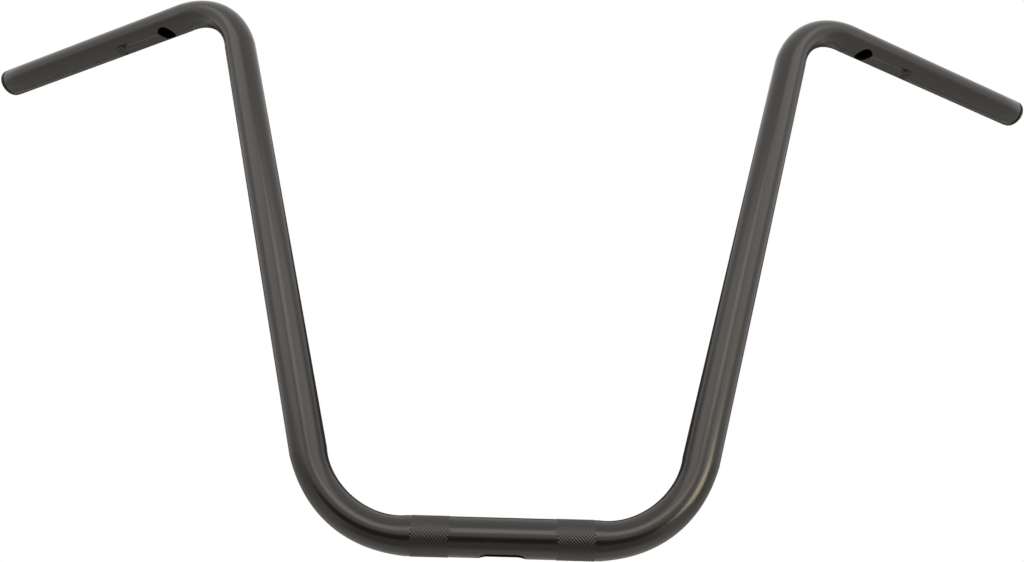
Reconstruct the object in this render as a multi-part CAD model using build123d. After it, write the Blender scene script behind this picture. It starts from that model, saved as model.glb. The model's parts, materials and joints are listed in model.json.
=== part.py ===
from build123d import *
import os
from math import cos, radians, sin

# Ape hanger handlebar: one bent steel tube with a moulded plug in each end.
# Millimetres and degrees. The origin is on the tube's axis midway between the two clamp bands,
# +X points to the rider's left, +Y back towards the rider, and the risers stand in the XZ plane.

# Tube stock
TUBE_OD = 25.4
TUBE_WALL = 2.4
END_CHAMFER = 0.6

# Route of the tube's centreline, from the middle out to one end
CENTRE_STRAIGHT = 127.0
LOWER_BEND_RADIUS = 73.7
LOWER_BEND_ANGLE = 73.3
RISER_STRAIGHT = 356.5
UPPER_BEND_RADIUS = 63.9
GRIP_PULLBACK = 24.8
GRIP_DROP = 3.8
GRIP_STRAIGHT = 211.4

# How far each side of a bend flattens towards the bend's centre plane, halfway round
LOWER_BEND_FLATTENING = 1.15
UPPER_BEND_FLATTENING = 1.15

# Knurled clamp bands
KNURL_WIDTH = 25.4
KNURL_SPACING = 95.25
KNURL_RAISE = 0.25

# Wiring slot under the middle of the bar
SLOT_LENGTH = 31.75
SLOT_WIDTH = 12.7

# Round wiring hole under each grip
HOLE_FROM_BEND = 19.3
HOLE_DIAMETER = 15.9

# Channel pressed into each grip by a round bar, from a direction turned back from straight below:
# it is deepest at the outboard end and ramps up into the hole
CHANNEL_TO_END = 55.1
CHANNEL_DEPTH = 5.4
CHANNEL_RAMP = 3.2
CHANNEL_RADIUS = 12.7
CHANNEL_TURN = 8.0
CHANNEL_END_ROUNDING = 3.0
CHANNEL_RIM_ROUNDING = 1.0

# End plugs, each with a lip held off the tube's end by a narrower neck
PLUG_LIP_STEP = 0.2
PLUG_LIP_THICKNESS = 3.0
PLUG_LIP_ROUNDING = 1.6
PLUG_NECK_STEP = 1.4
PLUG_NECK_LENGTH = 1.2
PLUG_SPIGOT_LENGTH = 16.0
PLUG_SPIGOT_CLEARANCE = 0.6
PLUG_WALL = 1.8
PLUG_RIB_COUNT = 3
PLUG_RIB_CLEARANCE = 0.05
PLUG_RIB_WIDTH = 1.2

# Cutters run this far past the surface that they cut
OVERRUN = 1.0
# Cross-sections that shape each bend
BEND_SECTIONS = 10

tube_radius = TUBE_OD / 2
bore_radius = tube_radius - TUBE_WALL

across = Vector(1, 0, 0)
riser_turn = radians(LOWER_BEND_ANGLE)
riser_way = Vector(cos(riser_turn), 0, sin(riser_turn))
pullback = radians(GRIP_PULLBACK)
drop = radians(GRIP_DROP)
grip_way = Vector(cos(drop) * cos(pullback), cos(drop) * sin(pullback), -sin(drop))


class Bend:
    """One bend of the tube: an arc of the centreline whose cross-section flattens towards the middle."""

    def __init__(self, start, way_in, way_out, radius, flattening):
        self.start = start
        self.way_in = way_in
        self.radius = radius
        self.flattening = flattening
        self.angle = radians(way_in.get_angle(way_out))
        self.inward = (way_out - way_in * way_in.dot(way_out)).normalized()
        self.normal = way_in.cross(self.inward)
        self.end = self.plane(1).origin

    def plane(self, share):
        """The plane across the tube after this share of the turn, its local Y in the plane of the bend."""
        turn = self.angle * share
        centre = self.start + self.inward * self.radius
        spoke = self.way_in * sin(turn) - self.inward * cos(turn)
        way = self.way_in * cos(turn) + self.inward * sin(turn)
        return Plane(origin=centre + spoke * self.radius, x_dir=self.normal, z_dir=way)

    def solid(self, inset):
        """The bend as a solid, the whole tube or, at an inset of the wall, its bore."""
        sections = []
        for i in range(BEND_SECTIONS + 1):
            share = i / BEND_SECTIONS
            flattening = self.flattening * (1 - (2 * share - 1) ** 4)
            outline = Ellipse(tube_radius - inset, tube_radius - inset - flattening)
            sections.append(self.plane(share) * outline)
        return loft(sections)


lower_bend = Bend(
    across * (CENTRE_STRAIGHT / 2), across, riser_way, LOWER_BEND_RADIUS, LOWER_BEND_FLATTENING
)
upper_bend = Bend(
    lower_bend.end + riser_way * RISER_STRAIGHT,
    riser_way,
    grip_way,
    UPPER_BEND_RADIUS,
    UPPER_BEND_FLATTENING,
)
grip_end = upper_bend.end + grip_way * GRIP_STRAIGHT
hole_centre = upper_bend.end + grip_way * HOLE_FROM_BEND

# Directions square to the grip: straight below it, and behind it towards the rider
grip_rear = Vector(0, 0, 1).cross(grip_way).normalized()
grip_below = grip_way.cross(grip_rear) * -1


def rod(start, way, length, radius):
    """A round bar from start along way."""
    return extrude(Plane(origin=start, z_dir=way) * Circle(radius), amount=length)


def both_sides(shape):
    """The shape and its mirror image on the bar's other side."""
    return [shape, mirror(shape, about=Plane.YZ)]


def outer_arm():
    """The outside of one arm, from the middle of the bar to its chamfered end."""
    grip = rod(upper_bend.end, grip_way, GRIP_STRAIGHT, tube_radius)
    end_face = grip.faces().sort_by(Axis(grip_end, grip_way))[-1]
    grip = chamfer(end_face.edges(), END_CHAMFER)
    middle = rod(Vector(0, 0, 0), across, CENTRE_STRAIGHT / 2, tube_radius)
    riser = rod(lower_bend.end, riser_way, RISER_STRAIGHT, tube_radius)
    band_start = across * (KNURL_SPACING / 2 - KNURL_WIDTH / 2)
    band = rod(band_start, across, KNURL_WIDTH, tube_radius + KNURL_RAISE)
    return middle + band + lower_bend.solid(0) + riser + upper_bend.solid(0) + grip


def bore_arm():
    """The hollow inside one arm, run out past the tube's end."""
    middle = rod(Vector(0, 0, 0), across, CENTRE_STRAIGHT / 2, bore_radius)
    riser = rod(lower_bend.end, riser_way, RISER_STRAIGHT, bore_radius)
    grip = rod(upper_bend.end, grip_way, GRIP_STRAIGHT + OVERRUN, bore_radius)
    return middle + lower_bend.solid(TUBE_WALL) + riser + upper_bend.solid(TUBE_WALL) + grip


def channel_punch(growth):
    """The round bar that presses the grip's channel, grown all round for the inner face of the wall."""
    ramp = radians(CHANNEL_RAMP)
    turn = radians(CHANNEL_TURN)
    pressed_from = grip_below * cos(turn) + grip_rear * sin(turn)
    floor_way = grip_way * cos(ramp) - pressed_from * sin(ramp)
    bar_side = pressed_from * cos(ramp) + grip_way * sin(ramp)
    floor_end = hole_centre + grip_way * CHANNEL_TO_END + pressed_from * (tube_radius - CHANNEL_DEPTH)
    nose = floor_end + bar_side * CHANNEL_RADIUS + floor_way * growth
    bar = rod(nose, floor_way * -1, CHANNEL_TO_END + growth, CHANNEL_RADIUS + growth)
    nose_face = bar.faces().sort_by(Axis(hole_centre, grip_way))[-1]
    return fillet(nose_face.edges(), CHANNEL_END_ROUNDING + growth)


def pressed_arm():
    """The outside of one arm with its channel pressed in and the channel's rim rounded."""
    arm = outer_arm()
    punch = channel_punch(0)
    pressed = arm - punch
    return fillet(new_edges(arm, punch, combined=pressed), CHANNEL_RIM_ROUNDING)


def wiring_hole():
    """The round hole through the lower wall of the grip."""
    return rod(hole_centre, grip_below, tube_radius + OVERRUN, HOLE_DIAMETER / 2)


def bar_tube():
    """The bent tube with its clamp bands, channels, wiring holes and slot."""
    inside = bore_arm() - channel_punch(TUBE_WALL)
    arm = pressed_arm() - inside - wiring_hole()
    slot = extrude(Plane.XY * SlotOverall(SLOT_LENGTH, SLOT_WIDTH), -tube_radius - OVERRUN)
    near_arm, far_arm = both_sides(arm)
    return near_arm + far_arm - slot


def end_plug():
    """A plug: a rounded lip and its neck on the tube's end, and a hollow ribbed spigot in its bore."""
    outwards = (Align.CENTER, Align.CENTER, Align.MIN)
    inwards = (Align.CENTER, Align.CENTER, Align.MAX)
    lip = Cylinder(tube_radius - PLUG_LIP_STEP, PLUG_LIP_THICKNESS, align=outwards)
    lip = fillet(lip.faces().sort_by(Axis.Z)[-1].edges(), PLUG_LIP_ROUNDING)
    neck = Cylinder(tube_radius - PLUG_NECK_STEP, PLUG_NECK_LENGTH, align=outwards)
    spigot_radius = bore_radius - PLUG_SPIGOT_CLEARANCE
    spigot = Cylinder(spigot_radius, PLUG_SPIGOT_LENGTH, align=inwards)
    plug = Pos(0, 0, PLUG_NECK_LENGTH) * lip + neck + spigot
    for i in range(PLUG_RIB_COUNT):
        depth = PLUG_SPIGOT_LENGTH * (i + 1) / (PLUG_RIB_COUNT + 1)
        plug += Pos(0, 0, -depth) * Cylinder(bore_radius - PLUG_RIB_CLEARANCE, PLUG_RIB_WIDTH)
    plug -= Cylinder(spigot_radius - PLUG_WALL, PLUG_SPIGOT_LENGTH, align=inwards)
    return Plane(origin=grip_end, z_dir=grip_way) * plug


left_plug, right_plug = both_sides(end_plug())
nodes = {"bar_tube": bar_tube(), "left_end_plug": left_plug, "right_end_plug": right_plug}

os.makedirs("parts", exist_ok=True)
for name, shape in nodes.items():
    export_step(shape, f"parts/{name}.step")
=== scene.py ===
import json
import logging
from collections.abc import Callable, Iterator
from contextlib import contextmanager
from dataclasses import dataclass, field
from enum import Enum
from math import atan2, cos, hypot, pi, radians, sin

import bmesh
import bpy
from mathutils import Matrix, Vector

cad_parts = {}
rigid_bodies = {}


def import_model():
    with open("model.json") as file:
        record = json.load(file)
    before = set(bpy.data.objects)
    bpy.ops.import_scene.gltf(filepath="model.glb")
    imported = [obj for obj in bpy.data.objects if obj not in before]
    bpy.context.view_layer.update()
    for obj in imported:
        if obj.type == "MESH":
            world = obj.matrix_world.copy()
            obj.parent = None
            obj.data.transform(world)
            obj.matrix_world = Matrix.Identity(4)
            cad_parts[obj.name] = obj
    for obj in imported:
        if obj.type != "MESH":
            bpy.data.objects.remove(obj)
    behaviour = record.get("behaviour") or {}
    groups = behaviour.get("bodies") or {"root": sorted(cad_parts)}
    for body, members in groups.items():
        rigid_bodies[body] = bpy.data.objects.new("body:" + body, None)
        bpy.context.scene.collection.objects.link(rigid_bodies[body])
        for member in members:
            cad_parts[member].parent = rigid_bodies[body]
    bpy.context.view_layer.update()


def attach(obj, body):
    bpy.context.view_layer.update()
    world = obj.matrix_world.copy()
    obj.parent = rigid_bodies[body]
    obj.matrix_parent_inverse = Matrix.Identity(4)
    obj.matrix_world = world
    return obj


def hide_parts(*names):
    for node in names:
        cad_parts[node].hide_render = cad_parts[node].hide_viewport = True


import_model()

log = logging.getLogger("handlebar")

MM = 0.001
PHOTO_WIDTH = 1024
PHOTO_HEIGHT = 562
ACROSS = Vector((1, 0, 0))
# Edges that turn by less than this, in degrees, are shaded smooth
SMOOTH_ANGLE = 38.0
# Points within these of a plane or a seam, in metres, count as on it
PLANE_TOLERANCE = 1e-5
SEAM_TOLERANCE = 1e-6
# A point within this of an edge, in millimetres, counts as on the edge
EDGE_SLACK = 0.1
# The values that a noise pattern mostly stays between
NOISE_LOW = 0.25
NOISE_HIGH = 0.75


class Side(Enum):
    """One arm of the bar, named as the rider sees it, with the sign of its X axis."""

    LEFT = 1
    RIGHT = -1


class Lamp(Enum):
    """The soft boxes of the studio, named as the camera sees them."""

    FRONT = "front_soft_box"
    LEFT = "left_soft_box"
    RIGHT = "right_soft_box"
    STRIP = "right_strip_box"


def linear(hex_colour: str) -> tuple[float, float, float, float]:
    """Turns an sRGB hex colour into linear red, green, blue and alpha.

    Args:
        hex_colour: Six hex digits, with or without a leading #.

    Returns:
        The linear colour with alpha 1.
    """
    digits = hex_colour.lstrip("#")
    shares = [int(digits[i : i + 2], 16) / 255 for i in (0, 2, 4)]
    red, green, blue = (s / 12.92 if s <= 0.04045 else ((s + 0.055) / 1.055) ** 2.4 for s in shares)
    return red, green, blue, 1.0


def per_metre(size_mm: float) -> float:
    """Gives the texture scale at which one cell of a pattern is this many millimetres wide."""
    return 1 / (size_mm * MM)


def add_node(
    tree: bpy.types.NodeTree, kind: str, settings: dict | None = None, **inputs: object
) -> bpy.types.Node:
    """Adds one node with its settings, values and links.

    Args:
        tree: The node tree that gets the node.
        kind: Blender's name for the node type.
        settings: Properties of the node itself.
        **inputs: A value or an output socket for each input. An input is given by its name, with
            underscores for spaces, or by an underscore and its number.

    Returns:
        The new node.
    """
    node = tree.nodes.new(kind)
    for name, value in (settings or {}).items():
        setattr(node, name, value)
    for name, value in inputs.items():
        numbered = name[1:].isdigit()
        socket = node.inputs[int(name[1:]) if numbered else name.replace("_", " ")]
        if isinstance(value, bpy.types.NodeSocket):
            tree.links.new(value, socket)
        else:
            socket.default_value = value
    return node


def deselect_all() -> None:
    """Leaves object mode clear, with nothing selected."""
    if bpy.context.mode != "OBJECT":
        bpy.ops.object.mode_set(mode="OBJECT")
    bpy.ops.object.select_all(action="DESELECT")


def make_active(piece: bpy.types.Object) -> None:
    """Selects one object alone and makes it the active one."""
    deselect_all()
    piece.select_set(True)
    bpy.context.view_layer.objects.active = piece


@contextmanager
def editing(piece: bpy.types.Object) -> Iterator[None]:
    """Holds one object in edit mode.

    Args:
        piece: The object to edit.

    Returns:
        A context that ends in object mode.
    """
    make_active(piece)
    bpy.ops.object.mode_set(mode="EDIT")
    yield
    bpy.ops.object.mode_set(mode="OBJECT")


def mark_points(piece: bpy.types.Object, marks: list[bool]) -> None:
    """Selects in edit mode the points that are marked, with the edges and faces between them.

    Args:
        piece: The object in edit mode.
        marks: Whether each of its points is wanted, in order.
    """
    bpy.ops.mesh.select_mode(type="VERT")
    bpy.ops.mesh.select_all(action="DESELECT")
    shape = bmesh.from_edit_mesh(piece.data)
    for point, marked in zip(shape.verts, marks):
        point.select = marked
    shape.select_flush_mode()
    bmesh.update_edit_mesh(piece.data)


def select_points(piece: bpy.types.Object, wanted: Callable[[Vector], bool]) -> None:
    """Selects in edit mode the points whose place passes a test.

    Args:
        piece: The object in edit mode.
        wanted: The test on a point's place.
    """
    shape = bmesh.from_edit_mesh(piece.data)
    mark_points(piece, [wanted(point.co) for point in shape.verts])


def face_outwards(piece: bpy.types.Object) -> None:
    """Turns all faces of a closed object outwards."""
    with editing(piece):
        bpy.ops.mesh.select_all(action="SELECT")
        bpy.ops.mesh.normals_make_consistent(inside=False)


def apply_modifier(piece: bpy.types.Object, kind: str, **settings: object) -> None:
    """Adds one modifier to an object and applies it.

    Args:
        piece: The object.
        kind: Blender's name for the modifier type.
        **settings: The modifier's properties.
    """
    make_active(piece)
    modifier = piece.modifiers.new(kind.lower(), kind)
    for name, value in settings.items():
        setattr(modifier, name, value)
    bpy.ops.object.modifier_apply(modifier=modifier.name)


def settle(piece: bpy.types.Object) -> None:
    """Puts an object's place and turn into its mesh, so that it sits at the origin."""
    make_active(piece)
    bpy.ops.object.transform_apply(location=True, rotation=True, scale=True)


def remove(piece: bpy.types.Object) -> None:
    """Deletes a tool that has done its work."""
    make_active(piece)
    bpy.ops.object.delete()


def dress(piece: bpy.types.Object, material: bpy.types.Material) -> None:
    """Shades an object smooth but for its sharp edges, and gives it its one material.

    Args:
        piece: The object.
        material: Its material.
    """
    make_active(piece)
    bpy.ops.object.shade_smooth_by_angle(angle=radians(SMOOTH_ANGLE))
    piece.data.materials.clear()
    piece.data.materials.append(material)


def bare_material(name: str) -> bpy.types.Material:
    """Makes a material that has no nodes yet."""
    material = bpy.data.materials.new(name)
    material.use_nodes = True
    material.node_tree.nodes.clear()
    return material


@dataclass(frozen=True)
class PowderCoat:
    """Satin black powder coat on steel tube.

    The powder melts into a film about 0.1 mm thick, which levels to a faint orange peel and keeps a fine
    grain, so it mirrors its surroundings as soft bands with a slightly uneven edge.
    """

    name: str = "satin_black_powder_coat"
    deep: str = "#12100E"
    worn: str = "#181513"
    # Painted warm light: a tint on every reflection of the coat, for the warmth of the studio's lamps
    painted_warm_light_tint: str = "#FFF8F0"
    ior: float = 1.56
    roughness_low: float = 0.2
    roughness_high: float = 0.25
    peel_mm: float = 2.2
    grain_mm: float = 0.5
    cloud_mm: float = 28.0
    peel_depth_mm: float = 0.0012
    grain_share: float = 0.03

    def material(self) -> bpy.types.Material:
        """Makes the material.

        Returns:
            The material.
        """
        coat = bare_material(self.name)
        tree = coat.node_tree
        place = add_node(tree, "ShaderNodeTexCoord").outputs["Object"]
        cloud = add_node(
            tree, "ShaderNodeTexNoise", Vector=place, Scale=per_metre(self.cloud_mm), Detail=3.0
        )
        peel = add_node(
            tree, "ShaderNodeTexNoise", Vector=place, Scale=per_metre(self.peel_mm), Detail=1.0
        )
        grain = add_node(
            tree, "ShaderNodeTexNoise", Vector=place, Scale=per_metre(self.grain_mm), Detail=2.0
        )
        colour = add_node(
            tree, "ShaderNodeMix", {"data_type": "RGBA"},
            _0=cloud.outputs["Fac"], _6=linear(self.deep), _7=linear(self.worn),
        )
        roughness = add_node(
            tree, "ShaderNodeMapRange", Value=grain.outputs["Fac"],
            From_Min=NOISE_LOW, From_Max=NOISE_HIGH,
            To_Min=self.roughness_low, To_Max=self.roughness_high,
        )
        relief = add_node(
            tree, "ShaderNodeMath", {"operation": "MULTIPLY_ADD"},
            _0=grain.outputs["Fac"], _1=self.grain_share, _2=peel.outputs["Fac"],
        )
        bump = add_node(
            tree, "ShaderNodeBump", Height=relief.outputs[0], Strength=1.0,
            Distance=self.peel_depth_mm * MM,
        )
        shader = add_node(
            tree, "ShaderNodeBsdfPrincipled", Base_Color=colour.outputs[2],
            Roughness=roughness.outputs[0], Normal=bump.outputs[0], IOR=self.ior,
            Specular_Tint=linear(self.painted_warm_light_tint),
        )
        add_node(tree, "ShaderNodeOutputMaterial", Surface=shader.outputs[0])
        return coat


@dataclass(frozen=True)
class MouldedPolyethylene:
    """Black polyethylene, injection moulded.

    It is softer and duller than the coat: a waxy low sheen over the mould's fine spark-eroded grain.
    """

    name: str = "moulded_black_polyethylene"
    deep: str = "#0D0D0D"
    worn: str = "#131312"
    ior: float = 1.52
    roughness_low: float = 0.42
    roughness_high: float = 0.52
    grain_mm: float = 0.35
    grain_depth_mm: float = 0.01

    def material(self) -> bpy.types.Material:
        """Makes the material.

        Returns:
            The material.
        """
        plastic = bare_material(self.name)
        tree = plastic.node_tree
        place = add_node(tree, "ShaderNodeTexCoord").outputs["Object"]
        grain = add_node(
            tree, "ShaderNodeTexNoise", Vector=place, Scale=per_metre(self.grain_mm), Detail=2.0
        )
        colour = add_node(
            tree, "ShaderNodeMix", {"data_type": "RGBA"},
            _0=grain.outputs["Fac"], _6=linear(self.deep), _7=linear(self.worn),
        )
        roughness = add_node(
            tree, "ShaderNodeMapRange", Value=grain.outputs["Fac"],
            From_Min=NOISE_LOW, From_Max=NOISE_HIGH,
            To_Min=self.roughness_low, To_Max=self.roughness_high,
        )
        bump = add_node(
            tree, "ShaderNodeBump", Height=grain.outputs["Fac"], Strength=1.0,
            Distance=self.grain_depth_mm * MM,
        )
        shader = add_node(
            tree, "ShaderNodeBsdfPrincipled", Base_Color=colour.outputs[2],
            Roughness=roughness.outputs[0], Normal=bump.outputs[0], IOR=self.ior,
        )
        add_node(tree, "ShaderNodeOutputMaterial", Surface=shader.outputs[0])
        return plastic


@dataclass(frozen=True)
class StudioPaper:
    """A matt sheet of the studio: the pale floor, or a cloth of painted shade that the coat mirrors.

    A cloth may fade to another colour, a painted shade, between two heights, in metres.
    """

    name: str
    colour: str
    upper_painted_shade: str = ""
    fade: tuple[float, float] = (0.0, 0.0)
    roughness: float = 0.9
    gloss: float = 0.2

    def material(self) -> bpy.types.Material:
        """Makes the material.

        Returns:
            The material.
        """
        paper = bpy.data.materials.new(self.name)
        paper.use_nodes = True
        tree = paper.node_tree
        shader = tree.nodes["Principled BSDF"]
        shader.inputs["Base Color"].default_value = linear(self.colour)
        # Painted shade: the colour fades to the upper painted shade between the two heights
        if self.upper_painted_shade:
            place = add_node(tree, "ShaderNodeTexCoord").outputs["Object"]
            height = add_node(tree, "ShaderNodeSeparateXYZ", Vector=place).outputs["Z"]
            low, high = self.fade
            share = add_node(tree, "ShaderNodeMapRange", Value=height, From_Min=low, From_Max=high)
            colour = add_node(
                tree, "ShaderNodeMix", {"data_type": "RGBA"},
                _0=share.outputs[0], _6=linear(self.colour), _7=linear(self.upper_painted_shade),
            )
            tree.links.new(colour.outputs[2], shader.inputs["Base Color"])
        shader.inputs["Roughness"].default_value = self.roughness
        shader.inputs["Specular IOR Level"].default_value = self.gloss
        return paper


@dataclass
class Bend:
    """One bend of the tube: an arc of the centreline whose section flattens towards its middle.

    Args:
        start: Where the arc begins.
        way_in: The tube's direction before the bend.
        way_out: The tube's direction after it.
        radius: The arc's radius, in metres.
        flattening: How far each side flattens halfway round, in metres.
    """

    start: Vector
    way_in: Vector
    way_out: Vector
    radius: float
    flattening: float

    @property
    def angle(self) -> float:
        """The turn, in radians."""
        return self.way_in.angle(self.way_out)

    @property
    def inward(self) -> Vector:
        """The direction from the start to the arc's centre."""
        return (self.way_out - self.way_in * self.way_in.dot(self.way_out)).normalized()

    @property
    def centre(self) -> Vector:
        """The arc's centre."""
        return self.start + self.inward * self.radius

    def spoke(self, share: float) -> Vector:
        """The direction from the arc's centre to the tube after this share of the turn."""
        turn = self.angle * share
        return self.way_in * sin(turn) - self.inward * cos(turn)

    def at(self, share: float) -> Vector:
        """The point of the centreline after this share of the turn."""
        return self.centre + self.spoke(share) * self.radius

    def squeeze(self, share: float) -> float:
        """How far each side has flattened after this share of the turn, in metres."""
        return self.flattening * (1 - (2 * share - 1) ** 4)


@dataclass
class Route:
    """The tube's centreline, from the middle of the bar out to one end, in millimetres and degrees."""

    centre_straight: float = 127.0
    lower_radius: float = 73.7
    lower_angle: float = 73.3
    riser_straight: float = 356.5
    upper_radius: float = 63.9
    pullback: float = 24.8
    drop: float = 3.8
    grip_straight: float = 211.4
    bend_flattening: float = 1.15
    riser_way: Vector = field(init=False)
    grip_way: Vector = field(init=False)
    lower: Bend = field(init=False)
    upper: Bend = field(init=False)

    def __post_init__(self) -> None:
        """Works out the directions of the straights and the two bends between them."""
        turn = radians(self.lower_angle)
        self.riser_way = Vector((cos(turn), 0, sin(turn)))
        pullback, drop = radians(self.pullback), radians(self.drop)
        self.grip_way = Vector((cos(drop) * cos(pullback), cos(drop) * sin(pullback), -sin(drop)))
        flattening = self.bend_flattening * MM
        start = ACROSS * self.centre_straight / 2 * MM
        self.lower = Bend(start, ACROSS, self.riser_way, self.lower_radius * MM, flattening)
        start = self.lower.at(1) + self.riser_way * self.riser_straight * MM
        self.upper = Bend(start, self.riser_way, self.grip_way, self.upper_radius * MM, flattening)

    @property
    def grip_rear(self) -> Vector:
        """The direction square to the grip, level and towards the rider."""
        return Vector((0, 0, 1)).cross(self.grip_way).normalized()

    @property
    def grip_below(self) -> Vector:
        """The direction square to the grip, straight below it."""
        return -self.grip_way.cross(self.grip_rear)

    def along_grip(self, distance_mm: float) -> Vector:
        """The point of the grip's axis at this distance from the upper bend."""
        return self.upper.at(1) + self.grip_way * distance_mm * MM

    @property
    def grip_end(self) -> Vector:
        """The point of the grip's axis at the tube's end."""
        return self.along_grip(self.grip_straight)


@dataclass
class BarTube:
    """The bent steel tube, with its clamp bands, channels, wiring holes and slot.

    Sizes are in millimetres and angles in degrees. Sides, steps, rows, cuts and segments set how fine
    the mesh is.
    """

    route: Route
    radius: float = 12.7
    wall: float = 2.4
    end_chamfer: float = 0.6
    chamfer_segments: int = 2
    sides: int = 72
    bend_steps: int = 36
    middle_rows: int = 12
    shoulder_rows: int = 2
    riser_rows: int = 12
    lead_rows: int = 4
    grip_rows: int = 6
    # Knurled clamp bands
    band_width: float = 25.4
    band_spacing: float = 95.25
    band_rows: int = 23
    band_bore_rows: int = 2
    crest_height: float = 0.34
    groove_depth: float = 0.2
    # Wiring slot and wiring holes
    slot_length: float = 31.75
    slot_width: float = 12.7
    hole_from_bend: float = 19.3
    hole_diameter: float = 15.9
    cutter_sides: int = 64
    cutter_overrun: float = 6.35
    # Channel, and the round bar that presses it
    channel_to_end: float = 55.1
    channel_depth: float = 5.4
    channel_ramp: float = 3.2
    channel_radius: float = 12.7
    channel_turn: float = 8.0
    channel_end_rounding: float = 3.0
    channel_run_out: float = 5.0
    channel_row: float = 1.0
    bore_row: float = 2.0
    punch_sides: int = 512
    punch_segments: int = 12
    press_margin: float = 1.0
    press_least: float = 0.001
    # The rim's zone on the grip: its angles from the pressing direction, and its reach along the channel
    rim_angles: tuple[float, float] = (12.0, 52.0)
    rim_start: float = -3.0
    rim_end: float = 9.0
    rim_past_end: float = 4.0
    rim_cuts: int = 2
    # How the rim rounds over: points in these rows that were pressed less than the depth are smoothed
    rim_rows: int = 4
    rim_depth: float = 1.2
    rim_pull: float = 0.5
    rim_passes: int = 16

    @property
    def band_start(self) -> float:
        """How far from the middle of the bar a clamp band begins."""
        return (self.band_spacing - self.band_width) / 2

    def build(self, coat: bpy.types.Material) -> bpy.types.Object:
        """Makes the whole tube and dresses it.

        Args:
            coat: The tube's material.

        Returns:
            The finished tube.
        """
        tube = self.join_skins(self.skin(0.0), self.skin(self.wall))
        self.chamfer_ends(tube)
        self.roll_bands(tube)
        self.cut_openings(tube)
        dress(tube, coat)
        with editing(tube):
            select_points(tube, lambda p: self.in_band(p, EDGE_SLACK))
            bpy.ops.mesh.mark_sharp(clear=True)
        return tube

    def skin(self, inset: float) -> bpy.types.Object:
        """Makes one face of one arm's wall, with the channel pressed into it.

        Args:
            inset: How far the face is inside the tube's outside: nothing, or the wall.

        Returns:
            The skin.
        """
        arm = self.sweep_arm(inset)
        self.press_channel(arm, inset)
        return arm

    def join_skins(self, outer: bpy.types.Object, inner: bpy.types.Object) -> bpy.types.Object:
        """Joins an arm's two skins at its end and mirrors it into the whole tube.

        Args:
            outer: The outside.
            inner: The bore.

        Returns:
            The tube.
        """
        end, way = self.route.grip_end, self.route.grip_way
        with editing(inner):
            bpy.ops.mesh.select_all(action="SELECT")
            bpy.ops.mesh.flip_normals()
        make_active(outer)
        inner.select_set(True)
        bpy.ops.object.join()
        outer.name = outer.data.name = "bar_tube_skin"
        with editing(outer):
            select_points(outer, lambda p: abs((p - end).dot(way)) < PLANE_TOLERANCE)
            bpy.ops.mesh.select_mode(type="EDGE")
            bpy.ops.mesh.bridge_edge_loops()
        apply_modifier(outer, "MIRROR", use_axis=(True, False, False), merge_threshold=SEAM_TOLERANCE)
        face_outwards(outer)
        return outer

    def sweep_arm(self, inset: float) -> bpy.types.Object:
        """Draws one arm out of a ring: straight, bend, riser, bend, grip.

        Args:
            inset: How far the ring is inside the tube's outside.

        Returns:
            The arm, open at both ends.
        """
        route = self.route
        radius = self.radius - inset
        band_rows = self.band_bore_rows if inset else self.band_rows
        band_end = self.band_start + self.band_width
        fine_row = self.bore_row if inset else self.channel_row
        fine_start = self.hole_from_bend - self.hole_diameter
        fine_end = self.hole_from_bend + self.channel_to_end + self.channel_run_out
        fine_rows = round((fine_end - fine_start) / fine_row)
        deselect_all()
        bpy.ops.mesh.primitive_circle_add(
            vertices=self.sides, radius=radius * MM, rotation=(0, pi / 2, 0)
        )
        arm = bpy.context.object
        settle(arm)
        with editing(arm):
            bpy.ops.mesh.select_all(action="SELECT")
            self.draw_out(ACROSS, self.band_start, self.middle_rows)
            self.draw_out(ACROSS, self.band_width, band_rows)
            self.draw_out(ACROSS, route.centre_straight / 2 - band_end, self.shoulder_rows)
            self.turn(route.lower, radius)
            self.draw_out(route.riser_way, route.riser_straight, self.riser_rows)
            self.turn(route.upper, radius)
            self.draw_out(route.grip_way, fine_start, self.lead_rows)
            self.draw_out(route.grip_way, fine_end - fine_start, fine_rows)
            self.draw_out(route.grip_way, route.grip_straight - fine_end, self.grip_rows)
        return arm

    def draw_out(self, way: Vector, length: float, rows: int) -> None:
        """Extrudes the selected ring along a straight.

        Args:
            way: The direction.
            length: The whole length, in millimetres.
            rows: How many rows of faces the length gets.
        """
        bpy.ops.mesh.extrude_repeat(steps=rows, offset=way * (length * MM / rows))

    def turn(self, bend: Bend, radius: float) -> None:
        """Spins the selected ring round a bend, step by step, and flattens it as it goes.

        Args:
            bend: The bend to follow.
            radius: The ring's radius, in millimetres.
        """
        axis = bend.inward.cross(bend.way_in)
        squeezed = 1.0
        for step in range(1, self.bend_steps + 1):
            share = step / self.bend_steps
            bpy.ops.mesh.spin(
                steps=1, angle=bend.angle / self.bend_steps, center=bend.centre, axis=axis
            )
            wanted = 1 - bend.squeeze(share) / (radius * MM)
            spoke = bend.spoke(share)
            turned = Matrix((spoke, axis, spoke.cross(axis)))
            bpy.ops.transform.resize(
                value=(wanted / squeezed, 1, 1), orient_type="GLOBAL",
                orient_matrix=[list(row) for row in turned], orient_matrix_type="GLOBAL",
                center_override=bend.at(share),
            )
            squeezed = wanted

    @property
    def pressed_from(self) -> Vector:
        """Where the channel is pressed from: below the grip, turned a little to the rear."""
        turn = radians(self.channel_turn)
        return self.route.grip_below * cos(turn) + self.route.grip_rear * sin(turn)

    def bench(self) -> Matrix:
        """The frame at the hole's centre, with X along the grip and Z where the punch comes from."""
        columns = (self.route.grip_way, self.pressed_from.cross(self.route.grip_way), self.pressed_from)
        turned = Matrix(columns).transposed().to_4x4()
        return Matrix.Translation(self.route.along_grip(self.hole_from_bend)) @ turned

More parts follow.
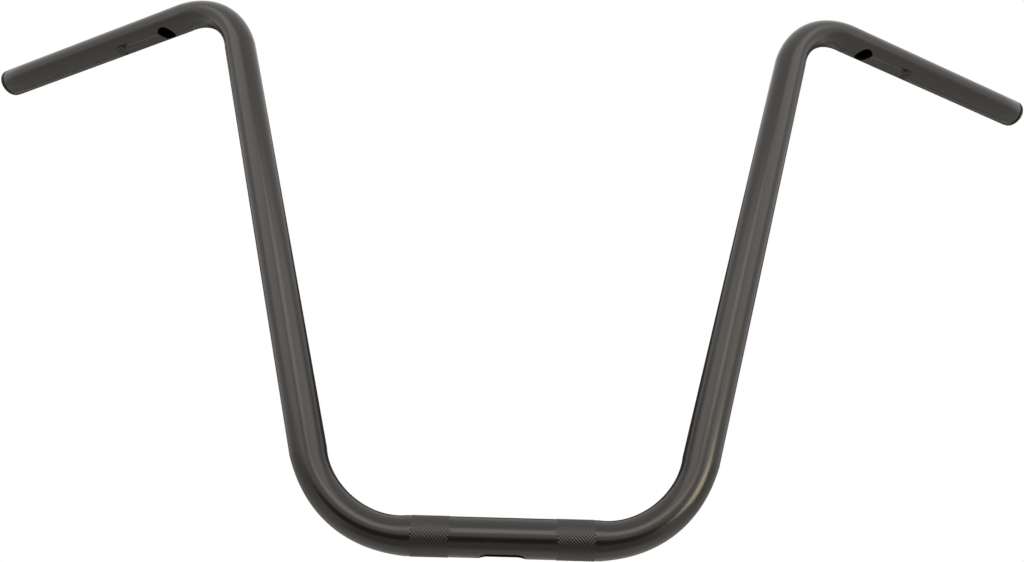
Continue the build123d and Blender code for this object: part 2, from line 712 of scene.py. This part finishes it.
    def punch(self, growth: float) -> bpy.types.Object:
        """Makes the punch: a round bar that lies deepest in the grip at the channel's outboard end.

        Args:
            growth: How much larger it is all round, for the bore's face of the wall.

        Returns:
            The punch.
        """
        ramp = radians(self.channel_ramp)
        floor_way = Vector((cos(ramp), 0, -sin(ramp)))
        bar_side = Vector((sin(ramp), 0, cos(ramp)))
        floor_end = Vector((self.channel_to_end, 0, self.radius - self.channel_depth))
        nose = (floor_end + bar_side * self.channel_radius + floor_way * growth) * MM
        length = (self.channel_to_end + growth) * MM
        deselect_all()
        bpy.ops.mesh.primitive_cylinder_add(
            vertices=self.punch_sides, radius=(self.channel_radius + growth) * MM, depth=length,
            location=nose - floor_way * length / 2, rotation=(0, pi / 2 + ramp, 0),
        )
        bar = bpy.context.object
        settle(bar)
        with editing(bar):
            select_points(bar, lambda p: (p - nose).dot(floor_way) > -SEAM_TOLERANCE)
            bpy.ops.mesh.select_mode(type="EDGE")
            bpy.ops.mesh.bevel(
                offset=(self.channel_end_rounding + growth) * MM, segments=self.punch_segments,
                affect="EDGES",
            )
        bar.matrix_world = self.bench()
        return bar

    def near_rim(self, point: Vector) -> bool:
        """Tells whether a point, in the bench's frame, is close to where the punch meets the tube.

        Args:
            point: The point, before it is pressed.

        Returns:
            Whether it is.
        """
        low, high = (radians(angle) for angle in self.rim_angles)
        turn = atan2(abs(point.y), point.z)
        along = point.x / MM
        at_end = self.channel_to_end - self.rim_end < along < self.channel_to_end + self.rim_past_end
        return turn < high and (at_end or (turn > low and self.rim_start < along < self.channel_to_end))

    def refine_rim(self, arm: bpy.types.Object) -> None:
        """Cuts the faces along the channel's rim smaller, so that the rim can be a tight curve.

        Args:
            arm: The outer skin, in the bench's frame.
        """
        with editing(arm):
            select_points(arm, self.near_rim)
            bpy.ops.mesh.subdivide(number_cuts=self.rim_cuts, ngon=False)

    def press_channel(self, arm: bpy.types.Object, growth: float) -> None:
        """Presses a skin onto the punch, and lets the rim of the outer one round over.

        Args:
            arm: The skin.
            growth: How much larger the punch is all round.
        """
        bar = self.punch(growth)
        arm.data.transform(self.bench().inverted())
        arm.matrix_world = self.bench()
        if not growth:
            self.refine_rim(arm)
        before = [point.co.copy() for point in arm.data.vertices]
        apply_modifier(
            arm, "SHRINKWRAP", target=bar, wrap_method="PROJECT", use_project_z=True,
            use_positive_direction=False, use_negative_direction=True,
            project_limit=(self.channel_depth + self.press_margin) * MM,
        )
        moved = [(p.co - q).length / MM for p, q in zip(arm.data.vertices, before)]
        soft = [self.near_rim(q) and depth < self.rim_depth for q, depth in zip(before, moved)]
        remove(bar)
        settle(arm)
        if not growth:
            self.round_rim(arm, moved, soft)

    def round_rim(self, arm: bpy.types.Object, moved: list[float], soft: list[bool]) -> None:
        """Smooths the points along the edge of what was pressed.

        Args:
            arm: The outer skin, with its channel pressed.
            moved: How far each of its points was pressed, in millimetres.
            soft: Whether each of its points may be smoothed.
        """
        with editing(arm):
            mark_points(arm, [depth > self.press_least for depth in moved])
            bpy.ops.mesh.region_to_loop()
            bpy.ops.mesh.select_mode(type="VERT")
            for _ in range(self.rim_rows):
                bpy.ops.mesh.select_more()
            shape = bmesh.from_edit_mesh(arm.data)
            mark_points(arm, [point.select and rounds for point, rounds in zip(shape.verts, soft)])
            bpy.ops.mesh.vertices_smooth(factor=self.rim_pull, repeat=self.rim_passes)

    def chamfer_ends(self, tube: bpy.types.Object) -> None:
        """Takes the sharp edge off both ends of the tube.

        Args:
            tube: The tube with its wall.
        """
        end, way = self.route.grip_end, self.route.grip_way
        edge = (self.radius - EDGE_SLACK) * MM

        def on_edge(point: Vector) -> bool:
            """Whether a point is on the outer edge of either end."""
            from_end = Vector((abs(point.x), point.y, point.z)) - end
            along = from_end.dot(way)
            return abs(along) < PLANE_TOLERANCE and (from_end - way * along).length > edge

        with editing(tube):
            select_points(tube, on_edge)
            bpy.ops.mesh.select_mode(type="EDGE")
            bpy.ops.mesh.bevel(
                offset=self.end_chamfer * MM, segments=self.chamfer_segments, affect="EDGES"
            )

    def in_band(self, point: Vector, margin: float) -> bool:
        """Tells whether a point is on the outside of a clamp band.

        Args:
            point: The point.
            margin: How far inside the band's ends it has to be, in millimetres.

        Returns:
            Whether it is.
        """
        outside = hypot(point.y, point.z) > (self.radius - self.wall / 2) * MM
        along = abs(point.x) / MM - self.band_start
        return outside and margin < along < self.band_width - margin

    def roll_bands(self, tube: bpy.types.Object) -> None:
        """Raises the knurl's diamonds: every other point of the band's grid becomes a crest.

        Args:
            tube: The tube with its wall.
        """
        row = self.band_width / self.band_rows

        def is_crest(point: Vector) -> bool:
            """Whether a point of the grid is a crest."""
            column = round(atan2(point.z, point.y) / (2 * pi / self.sides))
            place = round((abs(point.x) / MM - self.band_start) / row)
            return self.in_band(point, row / 2) and (column + place) % 2 == 0

        with editing(tube):
            select_points(tube, lambda p: self.in_band(p, row / 2) and not is_crest(p))
            bpy.ops.transform.shrink_fatten(value=-self.groove_depth * MM)
            select_points(tube, is_crest)
            bpy.ops.transform.shrink_fatten(value=self.crest_height * MM)
            select_points(tube, lambda p: self.in_band(p, -EDGE_SLACK))
            bpy.ops.mesh.quads_convert_to_tris(quad_method="SHORTEST_DIAGONAL", ngon_method="BEAUTY")
            bpy.ops.mesh.subdivide(number_cuts=1)

    def cutter(self, length: float, width: float, place: Matrix) -> bpy.types.Object:
        """Makes a cutter for a round hole or a round-ended slot, along its own -Z axis.

        Args:
            length: The hole's whole length, along the cutter's X axis.
            width: The hole's width.
            place: The frame of the cutter.

        Returns:
            The cutter.
        """
        deselect_all()
        reach = self.radius + self.cutter_overrun
        bpy.ops.mesh.primitive_cylinder_add(
            vertices=self.cutter_sides, radius=width / 2 * MM, depth=reach * MM,
            location=(0, 0, -reach / 2 * MM),
        )
        block = bpy.context.object
        settle(block)
        with editing(block):
            for way in (1, -1):
                select_points(block, lambda p: p.x * way > -SEAM_TOLERANCE)
                bpy.ops.transform.translate(value=(way * (length - width) / 2 * MM, 0, 0))
        block.matrix_world = place
        return block

    def cut_openings(self, tube: bpy.types.Object) -> None:
        """Cuts the slot under the middle and the wiring hole under each grip.

        Args:
            tube: The tube with its wall.
        """
        route = self.route
        turned = Matrix((route.grip_rear, route.grip_way, -route.grip_below)).transposed().to_4x4()
        hole_place = Matrix.Translation(route.along_grip(self.hole_from_bend)) @ turned
        cutters = [self.cutter(self.slot_length, self.slot_width, Matrix.Identity(4))]
        for side in Side:
            flip = Matrix.Scale(side.value, 4, ACROSS)
            cutters.append(self.cutter(self.hole_diameter, self.hole_diameter, flip @ hole_place))
        for block in cutters:
            settle(block)
            face_outwards(block)
            apply_modifier(tube, "BOOLEAN", operation="DIFFERENCE", object=block, solver="EXACT")
            remove(block)


@dataclass
class EndPlug:
    """A plug in the tube's end: a rounded lip on a short neck, and a hollow ribbed spigot.

    Sizes are in millimetres.
    """

    side: Side
    route: Route
    tube_radius: float = 12.7
    bore_radius: float = 10.3
    lip_step: float = 0.2
    lip_reach: float = 4.2
    lip_rounding: float = 1.6
    neck_length: float = 1.2
    neck_step: float = 1.4
    spigot_length: float = 16.0
    spigot_clearance: float = 0.6
    rib_count: int = 3
    rib_clearance: float = 0.05
    rib_width: float = 1.2
    wall: float = 1.8
    sides: int = 80
    rounding_steps: int = 8

    def profile(self) -> list[tuple[float, float]]:
        """Works out the plug's rings, from the hollow's bottom round to the lip's face.

        Returns:
            The radius and height of each ring.
        """
        spigot = self.bore_radius - self.spigot_clearance
        hollow = spigot - self.wall
        rib = self.bore_radius - self.rib_clearance
        neck = self.tube_radius - self.neck_step
        lip = self.tube_radius - self.lip_step
        rings = [(hollow, 0.0), (hollow, -self.spigot_length), (spigot, -self.spigot_length)]
        for i in range(self.rib_count, 0, -1):
            middle = -self.spigot_length * i / (self.rib_count + 1)
            low, high = middle - self.rib_width / 2, middle + self.rib_width / 2
            rings += [(spigot, low), (rib, low), (rib, high), (spigot, high)]
        rings += [(spigot, 0.0), (neck, 0.0), (neck, self.neck_length), (lip, self.neck_length)]
        for i in range(self.rounding_steps + 1):
            turn = pi / 2 * i / self.rounding_steps
            radius = lip - self.lip_rounding * (1 - cos(turn))
            rings.append((radius, self.lip_reach - self.lip_rounding * (1 - sin(turn))))
        return rings

    def build(self, plastic: bpy.types.Material) -> bpy.types.Object:
        """Makes the plug and dresses it.

        Args:
            plastic: The plug's material.

        Returns:
            The finished plug.
        """
        rings = self.profile()
        radius, height = rings[0]
        deselect_all()
        bpy.ops.mesh.primitive_circle_add(
            vertices=self.sides, radius=radius * MM, location=(0, 0, height * MM), fill_type="NGON"
        )
        plug = bpy.context.object
        plug.name = plug.data.name = f"{self.side.name.lower()}_plug_moulding"
        settle(plug)
        with editing(plug):
            bpy.ops.mesh.select_all(action="SELECT")
            for wide, high in rings[1:]:
                bpy.ops.mesh.extrude_region_move(
                    TRANSFORM_OT_translate={"value": (0, 0, (high - height) * MM)}
                )
                bpy.ops.transform.resize(
                    value=(wide / radius, wide / radius, 1), center_override=(0, 0, high * MM)
                )
                radius, height = wide, high
        face_outwards(plug)
        flip = Vector((self.side.value, 1, 1))
        plug.rotation_mode = "QUATERNION"
        plug.rotation_quaternion = (self.route.grip_way * flip).to_track_quat("Z", "Y")
        plug.location = self.route.grip_end * flip
        settle(plug)
        dress(plug, plastic)
        return plug


@dataclass(frozen=True)
class SoftBox:
    """A soft box: its direction from the bar, its distance and size, and its brightness.

    Metres and degrees. The azimuth is from the camera's side towards +X, and a brightness of 1 is a
    white surface fully lit.
    """

    lamp: Lamp
    azimuth: float
    elevation: float
    distance: float
    width: float
    height: float
    brightness: float
    tint: str = "#FFFFFF"

    def hang(self, aim: Vector) -> None:
        """Makes the lamp and turns it to the bar.

        Args:
            aim: The point that it faces.
        """
        azimuth, elevation = radians(self.azimuth), radians(self.elevation)
        way = Vector((sin(azimuth) * cos(elevation), -cos(azimuth) * cos(elevation), sin(elevation)))
        light = bpy.data.lights.new(self.lamp.value, "AREA")
        light.shape = "RECTANGLE"
        light.size, light.size_y = self.width, self.height
        light.energy = self.brightness * pi * self.width * self.height
        light.color = linear(self.tint)[:3]
        box = bpy.data.objects.new(self.lamp.value, light)
        bpy.context.collection.objects.link(box)
        box.location = aim + way * self.distance
        box.rotation_euler = (-way).to_track_quat("-Z", "Y").to_euler()
        box.visible_camera = False


@dataclass(frozen=True)
class Cloth:
    """A cloth of painted shade that shows only in reflections: its size, its middle and its finish.

    Metres, with the middle's height measured up from the floor. A cloth that isn't upright lies flat.
    """

    name: str
    size: tuple[float, float]
    middle: tuple[float, float, float]
    upright: bool
    paper: StudioPaper


@dataclass
class Studio:
    """The pale floor, the cloths of painted shade, the soft boxes, the white surroundings and the
    camera.

    Metres and degrees. The ambient light is a share of the white that the eye and the gloss see.
    """

    floor_height: float = -0.9
    floor_width: float = 40.0
    ambient: float = 0.75
    camera_place: tuple[float, float, float] = (-0.00329, -0.61835, -0.08201)
    camera_yaw: float = 0.48
    camera_pitch: float = 27.52
    camera_roll: float = 1.49
    focal_pixels: float = 893.93
    principal_x: float = 513.99
    principal_y: float = 213.52
    sensor: float = 36.0
    nearest: float = 0.01
    aim: tuple[float, float, float] = (0.0, 0.0, 0.15)

    def build(self) -> None:
        """Makes the whole studio."""
        self.floor()
        self.cloths()
        self.surroundings()
        self.soft_boxes()
        self.camera()
        bpy.context.scene.view_settings.view_transform = "Standard"

    def sheet(
        self, name: str, size: tuple[float, float], place: Matrix, paper: StudioPaper
    ) -> bpy.types.Object:
        """Makes a flat sheet that isn't part of the object.

        Args:
            name: The sheet's name.
            size: Its width and length.
            place: Its frame.
            paper: Its finish.

        Returns:
            The sheet.
        """
        deselect_all()
        bpy.ops.mesh.primitive_plane_add(size=1.0)
        sheet = bpy.context.object
        sheet.name = sheet.data.name = name
        sheet.matrix_world = place @ Matrix.Diagonal((size[0], size[1], 1, 1))
        settle(sheet)
        sheet.data.materials.append(paper.material())
        return sheet

    def floor(self) -> None:
        """Lays the floor about as far down as the ground is under a bike's clamp."""
        place = Matrix.Translation((0, 0, self.floor_height))
        size = (self.floor_width, self.floor_width)
        self.sheet("floor", size, place, StudioPaper("floor_paper", "#F0EFED"))

    def cloths(self) -> None:
        """Sets sheets of painted shade that show only in reflections: a black one upright and a grey one
        lying on the floor in front of the bar, and a grey one behind it that is painted darker towards
        the top.
        """
        # Painted shade: a black upright sheet for the dark low in front of the bar
        painted_shade_flag_paper = StudioPaper("painted_shade_flag_cloth", "#080808")
        # Painted shade: a grey sheet lying on the floor, for the floor in shade in front of the bar
        painted_floor_shade_paper = StudioPaper("painted_floor_shade_cloth", "#A8A6A3")
        # Painted shade: a grey sheet behind the bar, painted darker towards the top
        painted_shade_drop_paper = StudioPaper("painted_shade_drop_cloth", "#BBB9B6", "#505050", (0.25, 0.8))
        cloths = (
            Cloth("painted_shade_flag", (2.1, 0.78), (-0.2, -1.3, 0.39), True, painted_shade_flag_paper),
            Cloth("painted_floor_shade", (1.9, 1.1), (0.0, -0.75, 0.002), False, painted_floor_shade_paper),
            Cloth("drop", (5.0, 2.7), (0.0, 1.7, 1.35), True, painted_shade_drop_paper),
        )
        for cloth in cloths:
            x, y, height = cloth.middle
            place = Matrix.Translation((x, y, self.floor_height + height))
            if cloth.upright:
                place = place @ Matrix.Rotation(pi / 2, 4, "X")
            sheet = self.sheet(cloth.name, cloth.size, place, cloth.paper)
            sheet.visible_camera = False
            sheet.visible_diffuse = False
            sheet.visible_shadow = False

    def surroundings(self) -> None:
        """Makes the white studio: plain white to the eye and in gloss, and dimmer as ambient light."""
        world = bpy.data.worlds.new("white_studio")
        bpy.context.scene.world = world
        world.use_nodes = True
        tree = world.node_tree
        tree.nodes.clear()
        path = add_node(tree, "ShaderNodeLightPath")
        seen = add_node(
            tree, "ShaderNodeMath", {"operation": "MAXIMUM"},
            _0=path.outputs["Is Camera Ray"], _1=path.outputs["Is Glossy Ray"],
        )
        colour = linear("#FFFFFF")
        ambient = add_node(tree, "ShaderNodeBackground", Color=colour, Strength=self.ambient)
        white = add_node(tree, "ShaderNodeBackground", Color=colour, Strength=1.0)
        mix = add_node(
            tree, "ShaderNodeMixShader", _0=seen.outputs[0], _1=ambient.outputs[0], _2=white.outputs[0]
        )
        add_node(tree, "ShaderNodeOutputWorld", Surface=mix.outputs[0])

    def soft_boxes(self) -> None:
        """Hangs the soft boxes round the bar, each facing it."""
        boxes = (
            SoftBox(Lamp.FRONT, 1.0, 26.0, 2.0, 0.75, 0.85, 2.05),
            SoftBox(Lamp.LEFT, -42.0, 25.0, 2.2, 1.8, 1.8, 1.0),
            SoftBox(Lamp.RIGHT, 42.0, 25.0, 2.2, 1.8, 1.8, 1.0),
            SoftBox(Lamp.STRIP, 46.0, -10.0, 1.45, 0.6, 0.5, 5.9, "#FFFAE0"),
        )
        for box in boxes:
            box.hang(Vector(self.aim))

    def camera(self) -> None:
        """Places the camera where the photograph was taken from."""
        yaw, pitch, roll = (radians(a) for a in (self.camera_yaw, self.camera_pitch, self.camera_roll))
        ahead = Vector((sin(yaw) * cos(pitch), cos(yaw) * cos(pitch), sin(pitch)))
        level = Vector((cos(yaw), -sin(yaw), 0))
        upright = level.cross(ahead)
        right = level * cos(roll) + upright * sin(roll)
        up = upright * cos(roll) - level * sin(roll)
        view = bpy.data.cameras.new("photo_camera")
        view.sensor_fit = "HORIZONTAL"
        view.sensor_width = self.sensor
        view.lens = self.focal_pixels * self.sensor / PHOTO_WIDTH
        view.shift_x = (PHOTO_WIDTH / 2 - self.principal_x) / PHOTO_WIDTH
        view.shift_y = (self.principal_y - PHOTO_HEIGHT / 2) / PHOTO_WIDTH
        view.clip_start = self.nearest
        eye = bpy.data.objects.new("photo_camera", view)
        bpy.context.collection.objects.link(eye)
        turned = Matrix((right, up, -ahead)).transposed().to_4x4()
        eye.matrix_world = Matrix.Translation(self.camera_place) @ turned
        bpy.context.scene.camera = eye


def report(piece: bpy.types.Object) -> None:
    """Logs a piece's name and how many triangles it has."""
    piece.data.calc_loop_triangles()
    log.info("%s: %d triangles", piece.name, len(piece.data.loop_triangles))


def main() -> None:
    """Builds the bar, dresses it and sets up the studio."""
    logging.basicConfig(level=logging.INFO, format="%(name)s: %(message)s")
    route = Route()
    coat = PowderCoat().material()
    plastic = MouldedPolyethylene().material()
    tube = BarTube(route).build(coat)
    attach(tube, "root")
    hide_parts("bar_tube")
    report(tube)
    for side in Side:
        plug = EndPlug(side, route).build(plastic)
        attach(plug, "root")
        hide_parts(f"{side.name.lower()}_end_plug")
        report(plug)
    Studio().build()


if __name__ == "__main__":
    main()
